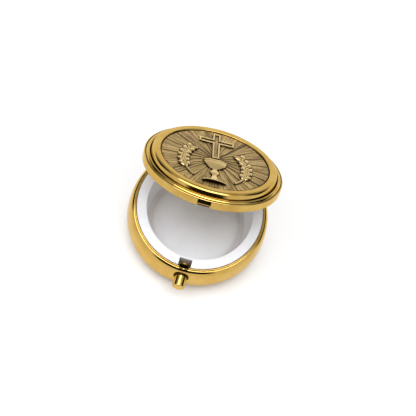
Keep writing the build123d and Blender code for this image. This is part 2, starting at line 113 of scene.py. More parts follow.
@dataclass(frozen=True)
class Nodes:
    """Node tree of a material or of the surroundings, and short ways to add to it."""

    tree: NodeTree

    @classmethod
    def of(cls, owner: Material | World) -> "Nodes":
        """Empties the node tree of a material or a world.

        Args:
            owner: The material or world.

        Returns:
            Its nodes.
        """
        owner.use_nodes = True
        owner.node_tree.nodes.clear()
        return cls(owner.node_tree)

    def plug(self, node: Node, inputs: dict[str | int, Any]) -> None:
        """Sets or links a node's inputs.

        Args:
            node: The node.
            inputs: Values or output sockets for its inputs, by name or number.
        """
        for name, value in inputs.items():
            if isinstance(value, NodeSocket):
                self.tree.links.new(value, node.inputs[name])
            else:
                node.inputs[name].default_value = value

    def add_node(
        self, kind: str, settings: dict[str, Any] | None = None, inputs: dict[str | int, Any] | None = None
    ) -> Node:
        """Adds one node.

        Args:
            kind: Type name of the node.
            settings: Attributes of the node.
            inputs: Values or output sockets for its inputs, by name or number.

        Returns:
            The new node.
        """
        node = self.tree.nodes.new(kind)
        for name, value in (settings or {}).items():
            setattr(node, name, value)
        self.plug(node, inputs or {})
        return node

    def step(self, operation: str, *values: NodeSocket | float) -> NodeSocket:
        """Adds one step of arithmetic on numbers or sockets."""
        return self.add_node("ShaderNodeMath", {"operation": operation}, dict(enumerate(values))).outputs[0]

    def vector_step(self, operation: str, *values: NodeSocket | Place) -> NodeSocket:
        """Adds one step of vector arithmetic, which gives a vector after NORMALIZE and otherwise a number."""
        node = self.add_node("ShaderNodeVectorMath", {"operation": operation}, dict(enumerate(values)))
        return node.outputs["Vector" if operation == "NORMALIZE" else "Value"]

    def mapped(
        self, value: NodeSocket, source: Point, result: Point = (0.0, 1.0), change: Change = Change.SOFT
    ) -> NodeSocket:
        """Adds a value taken from one range to another."""
        inputs = dict(zip(MAP_INPUTS, (value, *source, *result)))
        return self.add_node("ShaderNodeMapRange", {"interpolation_type": change.value}, inputs).outputs[0]

    def noise(self, place: NodeSocket, scale: float, detail: float, roughness: float = 0.5) -> NodeSocket:
        """Adds noise over coordinates, with a number of blots to their unit."""
        inputs = {"Vector": place, "Scale": scale, "Detail": detail, "Roughness": roughness}
        return self.add_node("ShaderNodeTexNoise", inputs=inputs).outputs["Fac"]

    def mixed(
        self, share: NodeSocket, first: NodeSocket | Colour, second: NodeSocket | Colour
    ) -> NodeSocket:
        """Adds a blend of two colours by the second one's share."""
        inputs = {"Factor": share, "A": first, "B": second}
        return self.add_node("ShaderNodeMix", {"data_type": "RGBA"}, inputs).outputs["Result"]

    def ramp(
        self,
        value: NodeSocket,
        places: tuple[float, ...],
        colours: list[Colour],
        change: Change = Change.EVEN,
    ) -> NodeSocket:
        """Adds a colour ramp.

        Args:
            value: Socket of the value.
            places: Value at each stop, in order.
            colours: Linear colour of each stop.
            change: How the colours run between the stops.

        Returns:
            Socket of the colour.
        """
        node = self.add_node("ShaderNodeValToRGB", inputs={"Fac": value})
        node.color_ramp.interpolation = change.value
        elements = node.color_ramp.elements
        while len(elements) < len(places):
            elements.new(1.0)
        for element, place, colour in zip(elements, places, colours):
            element.position = place
            element.color = colour
        return node.outputs["Color"]

    def window(self, value: NodeSocket, stops: tuple[Point, ...]) -> NodeSocket:
        """Adds a smooth curve over a value between -1 and 1.

        Args:
            value: Socket of the value.
            stops: Values and the curve's heights there, in order.

        Returns:
            Socket of the curve's height.
        """
        share = self.step("MULTIPLY_ADD", value, 0.5, 0.5)
        places = tuple(place / 2 + 0.5 for place, _ in stops)
        return self.ramp(share, places, [(height, height, height, 1.0) for _, height in stops], Change.EASED)

    def openness(self, reach: float, limits: Point) -> NodeSocket:
        """Adds how open the surface is within a reach: 0 in a deep crease, 1 on an open face."""
        seen = self.add_node("ShaderNodeAmbientOcclusion", OPENNESS, {"Distance": reach * MM})
        return self.mapped(seen.outputs["AO"], limits)

    def bumped(self, height: NodeSocket, strength: float, depth: float) -> NodeSocket:
        """Adds a bump whose depth is in millimetres."""
        inputs = {"Height": height, "Strength": strength, "Distance": depth * MM}
        return self.add_node("ShaderNodeBump", inputs=inputs).outputs["Normal"]

    def coordinates(self, kind: str) -> NodeSocket:
        """Adds texture coordinates of a kind."""
        return self.add_node("ShaderNodeTexCoord").outputs[kind]

    def spread(self, value: NodeSocket, middle: float, reach: float) -> NodeSocket:
        """Adds a noise's value spread evenly about a middle."""
        return self.mapped(value, NOISE_RANGE, (middle - reach, middle + reach), Change.EVEN)

    def flat_and_height(self, place: NodeSocket) -> tuple[NodeSocket, NodeSocket]:
        """Splits a place into its flat part and its height."""
        x, y, z = self.add_node("ShaderNodeSeparateXYZ", inputs={0: place}).outputs
        return self.add_node("ShaderNodeCombineXYZ", inputs={"X": x, "Y": y}).outputs[0], z


@dataclass(frozen=True)
class LocalFrame:
    """Place and turn of a piece's own axes, so that its pattern follows the piece."""

    origin: Place = (0.0, 0.0, 0.0)
    turn: Place = (0.0, 0.0, 0.0)

    @classmethod
    def of(cls, matrix: Matrix) -> "LocalFrame":
        """Frame of a matrix whose lengths are metres."""
        return cls(tuple(matrix.translation), tuple(matrix.to_euler()))

    def upright(self, nodes: Nodes) -> NodeSocket:
        """Adds the share of the surface's normal that points along this frame's upright axis."""
        axis = Euler(self.turn).to_matrix() @ Vector((0.0, 0.0, 1.0))
        return nodes.vector_step("DOT_PRODUCT", nodes.coordinates("Normal"), tuple(axis))

    def coordinates(self, nodes: Nodes) -> NodeSocket:
        """Adds Object coordinates in this frame, in metres."""
        inputs = {"Vector": nodes.coordinates("Object"), "Location": self.origin, "Rotation": self.turn}
        return nodes.add_node("ShaderNodeMapping", {"vector_type": "TEXTURE"}, inputs).outputs["Vector"]


def blank_material(name: str) -> tuple[Material, Nodes, Node]:
    """Makes a node material with one shader.

    Args:
        name: Name of the material.

    Returns:
        The material, its nodes and its shader node.
    """
    material = bpy.data.materials.new(name)
    nodes = Nodes.of(material)
    shader = nodes.add_node("ShaderNodeBsdfPrincipled")
    nodes.add_node("ShaderNodeOutputMaterial", inputs={"Surface": shader.outputs["BSDF"]})
    return material, nodes, shader


@dataclass(frozen=True)
class GiltBrass:
    """Spun or turned brass, buffed on a wheel and gold plated.

    It shows a warm yellow mirror that is slightly blurred and stays yellow at its edges, with faint buffing
    lines round the turning axis, soft cloudy patches where the plating is thicker, and painted shade: its
    colour turns dark in creases and narrow grooves, where shade falls.
    """

    name: str
    bright: str = "#D3B062"
    deep: str = "#C8A152"
    # Colour of the painted shade in creases and grooves.
    crease: str = "#1E1204"
    crease_shade_reach: float = 0.8
    crease_shade_limits: Point = (0.55, 0.88)
    edge_tint: str = "#FFF4DA"
    roughness: float = 0.12
    roughness_spread: float = 0.03
    line_spacing: float = 0.45
    line_detail: float = 2.0
    line_strength: float = 0.25
    line_depth: float = 0.0008
    cloud_size: float = 7.0
    cloud_detail: float = 3.0
    cloud_roughness: float = 0.6
    axis_frame: LocalFrame = LocalFrame()

    def material(self) -> Material:
        """Builds the node material.

        Returns:
            The material.
        """
        material, nodes, shader = blank_material(self.name)
        place = self.axis_frame.coordinates(nodes)
        flat, height = nodes.flat_and_height(place)
        radius = nodes.vector_step("LENGTH", flat)
        section = nodes.add_node("ShaderNodeCombineXYZ", inputs={"X": radius, "Y": height}).outputs[0]
        # Buffing lines are finer than a pixel, so they are drawn about one pixel apart.
        lines = nodes.noise(section, 1 / (self.line_spacing * MM), self.line_detail)
        clouds = nodes.noise(place, 1 / (self.cloud_size * MM), self.cloud_detail, self.cloud_roughness)
        tone = nodes.ramp(clouds, CLOUD_RANGE, [linear(self.deep), linear(self.bright)])
        # Painted shade: the colour darkens where the surface is closed in, as in creases and grooves.
        lighter_share = nodes.openness(self.crease_shade_reach, self.crease_shade_limits)
        looks = {
            "Base Color": nodes.mixed(lighter_share, linear(self.crease), tone),
            "Roughness": nodes.spread(lines, self.roughness, self.roughness_spread),
            "Normal": nodes.bumped(lines, self.line_strength, self.line_depth),
            "Metallic": 1.0,
            "Specular Tint": linear(self.edge_tint),
        }
        nodes.plug(shader, looks)
        return material


@dataclass(frozen=True)
class AntiqueBronze:
    """Cast brass, darkened with a patina and rubbed bright on its high places.

    It shows a dull brown-gold field with fine lines that run out from the middle, dark brown on upright walls
    and in the corners beside raised forms, and polished gold on their tops.
    """

    name: str
    axis_frame: LocalFrame
    rubbed: str = "#EBCB8A"
    field_light: str = "#C6A86E"
    field_dark: str = "#8C7142"
    patina: str = "#1C1206"
    tone_stops: tuple[float, ...] = (0.3, 0.44, 0.54, 0.64)
    tone_shift: float = -0.03
    line_count: int = 190
    line_drift: float = 4.0
    line_detail: float = 2.5
    line_roughness: float = 0.6
    line_weight: float = 0.62
    line_strength: float = 0.5
    line_depth: float = 0.05
    facet_count: float = 4.5
    facet_detail: float = 1.0
    facet_weight: float = 0.3
    grit_size: float = 0.5
    grit_detail: float = 3.0
    grit_weight: float = 0.2
    recess_reach: float = 1.3
    recess_limits: Point = (0.55, 0.97)
    wall_limits: Point = (0.3, 0.8)
    rim_radius: float = 19.4
    seam_width: float = 0.5
    rub_start: float = 0.28
    rub_full: float = 0.52
    field_roughness: float = 0.46
    rubbed_roughness: float = 0.24

    def material(self) -> Material:
        """Builds the node material.

        Returns:
            The material.
        """
        material, nodes, shader = blank_material(self.name)
        place = self.axis_frame.coordinates(nodes)
        flat, height = nodes.flat_and_height(place)
        radius = nodes.vector_step("LENGTH", flat)
        way = nodes.vector_step("NORMALIZE", flat)
        x, y, _ = nodes.add_node("ShaderNodeSeparateXYZ", inputs={0: way}).outputs
        drift = nodes.step("MULTIPLY", radius, self.line_drift)
        fan = nodes.add_node("ShaderNodeCombineXYZ", inputs={"X": x, "Y": y, "Z": drift}).outputs[0]
        # The cast lines are about 0.3 mm apart near the middle and are drawn that coarse to the rim.
        lines = nodes.noise(fan, self.line_count / tau, self.line_detail, self.line_roughness)
        facets = nodes.noise(way, self.facet_count, self.facet_detail)
        grit = nodes.noise(place, 1 / (self.grit_size * MM), self.grit_detail)
        tone = nodes.step("MULTIPLY_ADD", lines, self.line_weight, self.tone_shift)
        tone = nodes.step("MULTIPLY_ADD", facets, self.facet_weight, tone)
        tone = nodes.step("MULTIPLY_ADD", grit, self.grit_weight, tone)
        colours = [linear(code) for code in (self.patina, self.field_dark, self.field_light, self.rubbed)]
        ground = nodes.ramp(tone, self.tone_stops, colours)
        rubbed = nodes.mapped(height, (self.rub_start * MM, self.rub_full * MM))
        top = nodes.mixed(rubbed, ground, linear(self.rubbed))
        seam = ((self.rim_radius - self.seam_width) * MM, (self.rim_radius - self.seam_width / 3) * MM)
        inside = nodes.mapped(radius, seam, (1.0, 0.0))
        open_share = nodes.step("MULTIPLY", nodes.openness(self.recess_reach, self.recess_limits), inside)
        lighter_share = nodes.step("MULTIPLY", open_share, nodes.mapped(self.axis_frame.upright(nodes), self.wall_limits))
        gloss = (self.field_roughness, self.rubbed_roughness)
        looks = {
            "Base Color": nodes.mixed(lighter_share, linear(self.patina), top),
            "Roughness": nodes.mapped(rubbed, (0.0, 1.0), gloss, Change.EVEN),
            "Normal": nodes.bumped(lines, self.line_strength, self.line_depth),
            "Metallic": 1.0,
        }
        nodes.plug(shader, looks)
        return material


@dataclass(frozen=True)
class MouldedPlastic:
    """White polypropylene, injection moulded.

    It shows a pure cool white with a soft broad gloss, a faint cloudiness and a fine spark-eroded grain. A
    little warm light comes through where it is thin. Its corners carry painted shade, a warm brown that also
    stands as a painted reflection of the gilt's light there.
    """

    name: str
    light: str = "#F4F6FC"
    shade: str = "#EDEFF6"
    # Colour of the painted shade in the corners, warmed as a painted reflection of the gilt.
    corner: str = "#94806A"
    corner_shade_reach: float = 4.0
    corner_shade_limits: Point = (0.4, 0.94)
    roughness: float = 0.42
    roughness_spread: float = 0.05
    grain_size: float = 0.4
    grain_strength: float = 0.2
    grain_depth: float = 0.006
    cloud_size: float = 9.0
    noise_detail: float = 2.0
    glow_share: float = 0.5
    glow_depth: float = 2.0
    glow_tint: Place = (1.0, 0.8, 0.6)

    def material(self) -> Material:
        """Builds the node material.

        Returns:
            The material.
        """
        material, nodes, shader = blank_material(self.name)
        place = LocalFrame().coordinates(nodes)
        clouds = nodes.noise(place, 1 / (self.cloud_size * MM), self.noise_detail)
        # The mould's grain is finer than a pixel and is drawn as coarse as shows.
        grain = nodes.noise(place, 1 / (self.grain_size * MM), self.noise_detail)
        tone = nodes.ramp(clouds, CLOUD_RANGE, [linear(self.shade), linear(self.light)])
        # Painted shade: the colour turns warm brown where the surface is closed in, in corners and in the
        # notch.
        open_share = nodes.openness(self.corner_shade_reach, self.corner_shade_limits)
        looks = {
            "Base Color": nodes.mixed(open_share, linear(self.corner), tone),
            "Roughness": nodes.spread(grain, self.roughness, self.roughness_spread),
            "Normal": nodes.bumped(grain, self.grain_strength, self.grain_depth),
            "IOR": PLASTIC_IOR,
            "Subsurface Weight": self.glow_share,
            "Subsurface Scale": self.glow_depth * MM,
            "Subsurface Radius": self.glow_tint,
        }
        nodes.plug(shader, looks)
        return material


@dataclass(frozen=True)
class LidHinge:
    """Hinge pin and opening of the lid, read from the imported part."""

    pin: Vector
    opening: float

    @classmethod
    def from_frame(cls) -> "LidHinge":
        """Reads the lid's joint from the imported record."""
        joint = next(j for j in frame["joints"] if j["name"] == "lid_hinge")
        return cls(Vector(joint["pos_m"]), radians(-joint["range_deg"][0]))

    def closed_to_rest(self) -> Matrix:
        """Matrix that turns the closed lid about the pin to the pose of rest."""
        turn = Matrix.Rotation(-self.opening, 4, "X")
        return Matrix.Translation(self.pin) @ turn @ Matrix.Translation(-self.pin)


def arc(centre: Point, size: Point, start: float, end: float, count: int) -> list[Point]:
    """Points along an ellipse of two half axes, from one angle to another in a number of steps."""
    turns = [radians(start + (end - start) * number / count) for number in range(count + 1)]
    return [(centre[0] + size[0] * cos(turn), centre[1] + size[1] * sin(turn)) for turn in turns]


def tangent_arc(start: Point, way: Point, end: Point, count: int) -> list[Point]:
    """Points along the circle that leaves a point in a given direction and reaches another point.

    Args:
        start: First point, as radius and height.
        way: Direction at the first point.
        end: Last point.
        count: Number of steps.

    Returns:
        The points, both ends among them.
    """
    chord = Vector(end) - Vector(start)
    side = Vector((-way[1], way[0])).normalized()
    reach = chord.length_squared / (2 * chord.dot(side))
    middle = Vector(start) + side * reach
    first = Vector(start) - middle
    sweep = -first.angle_signed(Vector(end) - middle)
    turns = [Matrix.Rotation(sweep * number / count, 2) for number in range(count + 1)]
    return [tuple(middle + turn @ first) for turn in turns]


def held(points: list[Point], hold: float = 0.08, longest_free: float = 0.4) -> list[Point]:
    """Adds a point near each end of a long straight run, so that smooth shading stays flat on it.

    Args:
        points: Points of a section.
        hold: Distance of the added points from the ends.
        longest_free: Length of the longest run that gets none.

    Returns:
        The points with the added ones.
    """
    kept = [points[0]]
    for before, after in zip(points, points[1:]):
        run = Vector(after) - Vector(before)
        if run.length > longest_free:
            inset = run.normalized() * hold
            kept += [tuple(Vector(before) + inset), tuple(Vector(after) - inset)]
        kept.append(after)
    return kept


def turned(section: list[Point], steps: int) -> BMesh:
    """Spins a section about the upright axis.

    Args:
        section: Points of the section from axis to axis, as radius and height.
        steps: Number of steps in the full turn.

    Returns:
        The closed turned mesh, with its faces pointing outwards.
    """
    bm = bmesh.new()
    verts = [bm.verts.new((radius, 0.0, height)) for radius, height in held(section)]
    edges = [bm.edges.new(pair) for pair in zip(verts, verts[1:])]
    bmesh.ops.spin(
        bm, geom=verts + edges, cent=(0, 0, 0), axis=(0, 0, 1), angle=tau, steps=steps, use_merge=True
    )
    bmesh.ops.remove_doubles(bm, verts=bm.verts, dist=WELD)
    bmesh.ops.dissolve_degenerate(bm, edges=bm.edges, dist=SLIVER)
    bmesh.ops.recalc_face_normals(bm, faces=bm.faces)
    return bm


def as_mesh(bm: BMesh, name: str) -> bpy.types.Mesh:
    """Turns a bmesh into a mesh.

    Args:
        bm: The bmesh, which is freed.
        name: Name of the mesh.

    Returns:
        The mesh.
    """
    mesh = bpy.data.meshes.new(name)
    bm.to_mesh(mesh)
    bm.free()
    return mesh


def carved(bm: BMesh, cutter: BMesh) -> BMesh:
    """Cuts one closed mesh out of another.

    Args:
        bm: Mesh that is cut, which is freed.
        cutter: Mesh that is taken away, which is freed.

    Returns:
        The mesh that is left.
    """
    pair = [bpy.data.objects.new("carving", as_mesh(source, "carving")) for source in (bm, cutter)]
    for used in pair:
        bpy.context.scene.collection.objects.link(used)
    cut = pair[0].modifiers.new("cut", "BOOLEAN")
    cut.operation = "DIFFERENCE"
    cut.solver = "EXACT"
    cut.object = pair[1]
    left = bmesh.new()
    left.from_object(pair[0], bpy.context.evaluated_depsgraph_get())
    for used in pair:
        bpy.data.meshes.remove(used.data)
    bmesh.ops.remove_doubles(left, verts=left.verts, dist=WELD)
    return left


def drawn_out(bm: BMesh, face: BMFace, way: Place, keep: bool = True) -> list[BMVert]:
    """Draws a face out to a block.

    Args:
        bm: Mesh of the face.
        face: The face.
        way: Direction and length of the draw.
        keep: Whether the face stays as the block's other end.

    Returns:
        The corners of the block's new end, in the face's order.
    """
    drawn = bmesh.ops.extrude_face_region(bm, geom=[face], use_keep_orig=keep)
    far = [item for item in drawn["geom"] if isinstance(item, BMVert)]
    bmesh.ops.translate(bm, verts=far, vec=way)
    return far


def soften(bm: BMesh, edges: list[BMEdge], size: float, segments: int = 3) -> None:
    """Rounds edges by a size in a number of segments."""
    shape = {"offset": size, "segments": segments, "profile": 0.5, "affect": "EDGES", "material": -1}
    bmesh.ops.bevel(bm, geom=edges, **shape)


def finish_mesh(bm: BMesh, name: str, place: Matrix, sharp_angle: float = SHARP_ANGLE) -> Object:
    """Turns a bmesh in millimetres into an object at the origin, in metres and in its place.

    Args:
        bm: Mesh of the piece, which is freed.
        name: Name of the piece.
        place: Matrix from the piece's own axes, in metres, to the part's frame.
        sharp_angle: Angle above which an edge stays sharp.

    Returns:
        The new object, linked to the scene.
    """
    bmesh.ops.transform(bm, matrix=place @ Matrix.Scale(MM, 4), verts=bm.verts)
    for face in bm.faces:
        face.smooth = True
    for edge in bm.edges:
        edge.smooth = edge.calc_face_angle(0.0) < radians(sharp_angle)
    piece = bpy.data.objects.new(name, as_mesh(bm, name))
    bpy.context.scene.collection.objects.link(piece)
    return piece


def seat(piece: Object, material: Material, body: Body, node: str) -> None:
    """Dresses a new piece and puts it on its body in place of a CAD node.

    Args:
        piece: The new piece.
        material: Its finish.
        body: Body that it rides on.
        node: CAD node that it stands for.
    """
    piece.data.materials.append(material)
    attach(piece, body.value)
    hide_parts(node)
    LOG.info("%s built with %d faces", piece.name, len(piece.data.polygons))


@dataclass
class Bowl:
    """Spun bowl with a bulged side, a rounded shoulder and a thin rolled neck."""

    radius: float = 25.0
    widest: float = 6.4
    foot: float = 19.8
    wall: float = 0.8
    floor: float = 1.0
    side_top: Point = (24.45, 12.6)
    shoulder: Point = (23.3, 14.2)
    neck_radius: float = 23.0
    neck_wall: float = 0.5
    neck_top: float = 14.75
    button_height: float = 10.4
    bush_radius: float = 2.8
    neck_cut_radius: float = 1.75
    neck_cut_height: float = 15.05
    steps: int = 288
    foot_steps: int = 28
    bend_steps: int = 14
    neck_steps: int = 12
    hole_steps: int = 64

    def section(self) -> list[Point]:
        """Draws the section of the bowl.

        Returns:
            Points from the middle of the underside round to the middle of the floor.
        """
        foot = (self.foot, self.widest)
        round_size = self.radius - self.foot
        inner = self.radius - self.wall
        side = tangent_arc((self.radius, self.widest), (0, 1), self.side_top, self.bend_steps)
        last = Vector(side[-1]) - Vector(side[-2])
        shoulder = tangent_arc(self.side_top, tuple(last), self.shoulder, self.bend_steps)
        half_neck = self.neck_wall / 2
        neck_middle = (self.neck_radius - half_neck, self.neck_top - half_neck)
        return [
            (0.0, 0.0),
            *arc(foot, (round_size, self.widest), -90, 0, self.foot_steps),
            *side[1:],
            *shoulder[1:],
            (self.neck_radius, self.shoulder[1]),
            *arc(neck_middle, (half_neck, half_neck), 0, 180, self.neck_steps),
            (self.neck_radius - self.neck_wall, self.shoulder[1] - self.wall),
            (self.side_top[0] - self.wall, self.side_top[1]),
            *arc(foot, (inner - self.foot, self.widest - self.floor), 0, -90, self.bend_steps),
            (0.0, self.floor),
        ]

    def build(self, finish: GiltBrass) -> None:
        """Builds the bowl, with the holes for the bush and the catch, and dresses it.

        Args:
            finish: Finish of the bowl.
        """
        bm = turned(self.section(), self.steps)
        neck_inside = self.neck_radius - 2 * self.neck_wall
        for height, size, start, end in (
            (self.button_height, self.bush_radius, self.foot, self.radius + self.wall),
            (self.neck_cut_height, self.neck_cut_radius, neck_inside, self.shoulder[0]),
        ):
            drill = bmesh.new()
            stand = Matrix.Translation((0.0, -(start + end) / 2, height)) @ Matrix.Rotation(pi / 2, 4, "X")
            bmesh.ops.create_cone(
                drill,
                cap_ends=True,
                segments=self.hole_steps,
                radius1=size,
                radius2=size,
                depth=end - start,
                matrix=stand,
            )
            bm = carved(bm, drill)
        piece = finish_mesh(bm, "bowl", Matrix.Identity(4))
        seat(piece, finish.material(), Body.BASE, "base_shell")


@dataclass
class Lid:
    """Stamped lid: upright skirt, groove, bead, second groove, rounded bezel and the medallion's pan."""

    hinge: LidHinge
    radius: float = 24.8
    edge: float = 13.75
    wall: float = 0.6
    skirt: float = 2.8
    skirt_round: float = 0.4
    groove: Point = (24.2, 2.5)
    bead_end: Point = (22.6, 3.1)
    bead_crown: float = 0.55
    bezel_radius: float = 22.35
    bezel_round: float = 1.1
    bezel: float = 5.2
    pan_radius: float = 19.5
    pan_round: float = 0.3
    pan: float = 3.8
    notch_width: float = 4.7
    notch_height: float = 2.42
    notch_proud: float = 0.4
    steps: int = 288
    edge_steps: int = 8
    bead_steps: int = 16
    bezel_steps: int = 18

    def bead(self) -> list[Point]:
        """Draws the bead.

        Returns:
            Points from the outer groove to the inner one.
        """
        chord = Vector(self.bead_end) - Vector(self.groove)
        lean = 2 * atan2(2 * self.bead_crown, chord.length)
        way = Matrix.Rotation(-lean, 2) @ chord
        return tangent_arc(self.groove, tuple(way), self.bead_end, self.bead_steps)

    def section(self) -> list[Point]:
        """Draws the section of the lid.

        Returns:
            Points from the middle of the pan's underside round to the middle of the pan.
        """
        corner = (self.radius - self.skirt_round, self.skirt - self.skirt_round)
        wall_top = self.bezel - self.bezel_round
        crown = (self.bezel_radius - self.bezel_round, wall_top)
        pan_edge = (self.pan_radius + self.pan_round, self.bezel - self.pan_round)
        outer = [
            (self.radius - self.wall, 0.0),
            (self.radius, 0.0),
            *arc(corner, (self.skirt_round, self.skirt_round), 0, 90, self.edge_steps),
            *self.bead(),
            *arc(crown, (self.bezel_round, self.bezel_round), 0, 90, self.bezel_steps),
            *arc(pan_edge, (self.pan_round, self.pan_round), 90, 180, self.edge_steps),
            (self.pan_radius, self.pan),
            (0.0, self.pan),
        ]
        inner = [
            (0.0, self.pan - self.wall),
            (self.pan_radius + self.wall, self.pan - self.wall),
            (self.pan_radius + self.wall, self.bezel - self.wall),
            (crown[0], self.bezel - self.wall),
            (self.bezel_radius - self.wall, wall_top),
            (self.bezel_radius - self.wall, self.bead_end[1] - self.wall),
            (self.radius - self.wall, self.groove[1] - self.wall),
        ]
        return inner + outer

    def build(self, finish: GiltBrass) -> None:
        """Builds the lid, with the notch in its skirt, and dresses it.

        Args:
            finish: Finish of the lid.
        """
        bm = turned(self.section(), self.steps)
        box = bmesh.new()
        depth = 2 * self.wall + self.radius - self.bead_end[0]
        size = Matrix.Diagonal((self.notch_width, depth, 2 * self.notch_height, 1))
        front = (self.radius + self.bead_end[0] + self.notch_proud) / 2
        bmesh.ops.create_cube(box, size=1.0, matrix=Matrix.Translation((0.0, -front, 0.0)) @ size)
        bm = carved(bm, box)
        closed = self.hinge.closed_to_rest() @ Matrix.Translation((0.0, 0.0, self.edge * MM))
        piece = finish_mesh(bm, "lid", closed)
        seat(piece, finish.material(), Body.LID, "lid_shell")


@dataclass
class Tongue:
    """Bent strip of the catch under the lid, with a plate behind the notch in the lid's skirt."""

    hinge: LidHinge
    width: float = 4.1
    strip: tuple[Point, ...] = (
        (21.75, 12.55), (22.25, 12.55), (22.25, 15.95), (21.25, 16.95), (18.85, 16.95),
        (18.85, 16.45), (21.04, 16.45), (21.75, 15.74), (21.75, 13.0), (21.61, 13.0),
    )
    plate_width: float = 5.2
    plate: tuple[Point, ...] = (
        (22.0, 15.75), (23.72, 15.4), (23.72, 14.02), (24.02, 14.02), (24.02, 14.24),
        (24.02, 15.8), (22.0, 16.15),
    )
    lip_top: float = 14.28
    edge_round: float = 0.06
    edge_segments: int = 2

    def add_strip(self, bm: BMesh, section: tuple[Point, ...], width: float) -> None:
        """Adds a bent strip with softened edges.

        Args:
            bm: Mesh that gets the strip.
            section: Corners of its section, as distance to the front and height.
            width: Its width from left to right.
        """
        side = bm.faces.new([bm.verts.new((-width / 2, -front, height)) for front, height in section])
        far = drawn_out(bm, side, (width, 0.0, 0.0))
        rims = list({edge for vert in [*side.verts, *far] for edge in vert.link_edges})
        soften(bm, rims, self.edge_round, self.edge_segments)

    def build(self, finish: GiltBrass, lip: GiltBrass) -> None:
        """Builds the tongue and dresses it.

        Args:
            finish: Finish of the strip and the plate, near black as painted shade.
            lip: Finish of the plate's lower edge, plain gilt beside that painted shade.
        """
        bm = bmesh.new()
        self.add_strip(bm, self.plate, self.plate_width)
        # The faces of the plate's lower edge take the plain gilt; the rest carries the painted shade.
        for face in bm.faces:
            face.material_index = int(face.calc_center_median().z < self.lip_top)
        self.add_strip(bm, self.strip, self.width)
        bmesh.ops.recalc_face_normals(bm, faces=bm.faces)
        piece = finish_mesh(bm, "tongue", self.hinge.closed_to_rest())
        seat(piece, finish.material(), Body.LID, "catch_tongue")
        piece.data.materials.append(lip.material())


@dataclass
class Button:
    """Turned push button with its shank, on an axis that points to the front."""

    height: float = 10.4
    radius: float = 2.2
    end: float = 28.85
    end_round: float = 0.35
    inner_end: float = 24.05
    bore_radius: float = 1.45
    bore_end: float = 26.25
    shank_radius: float = 0.6
    shank_end: float = 20.55
    steps: int = 96
    edge_steps: int = 8

    def axis(self) -> Matrix:
        """Matrix from the turning axis, in metres, to the part's frame."""
        return Matrix.Translation((0.0, 0.0, self.height * MM)) @ Matrix.Rotation(pi / 2, 4, "X")

    def build(self, finish: GiltBrass) -> None:
        """Builds the button and dresses it.

        Args:
            finish: Finish of the button.
        """
        face = (self.radius - self.end_round, self.end - self.end_round)
        section = [
            (0.0, self.shank_end),
            (self.shank_radius, self.shank_end),
            (self.shank_radius, self.bore_end),
            (self.bore_radius, self.bore_end),
            (self.bore_radius, self.inner_end),
            (self.radius, self.inner_end),
            *arc(face, (self.end_round, self.end_round), 0, 90, self.edge_steps),
            (0.0, self.end),
        ]
        piece = finish_mesh(turned(section, self.steps), "button", self.axis())
        seat(piece, finish.material(), Body.BUTTON, "push_button")


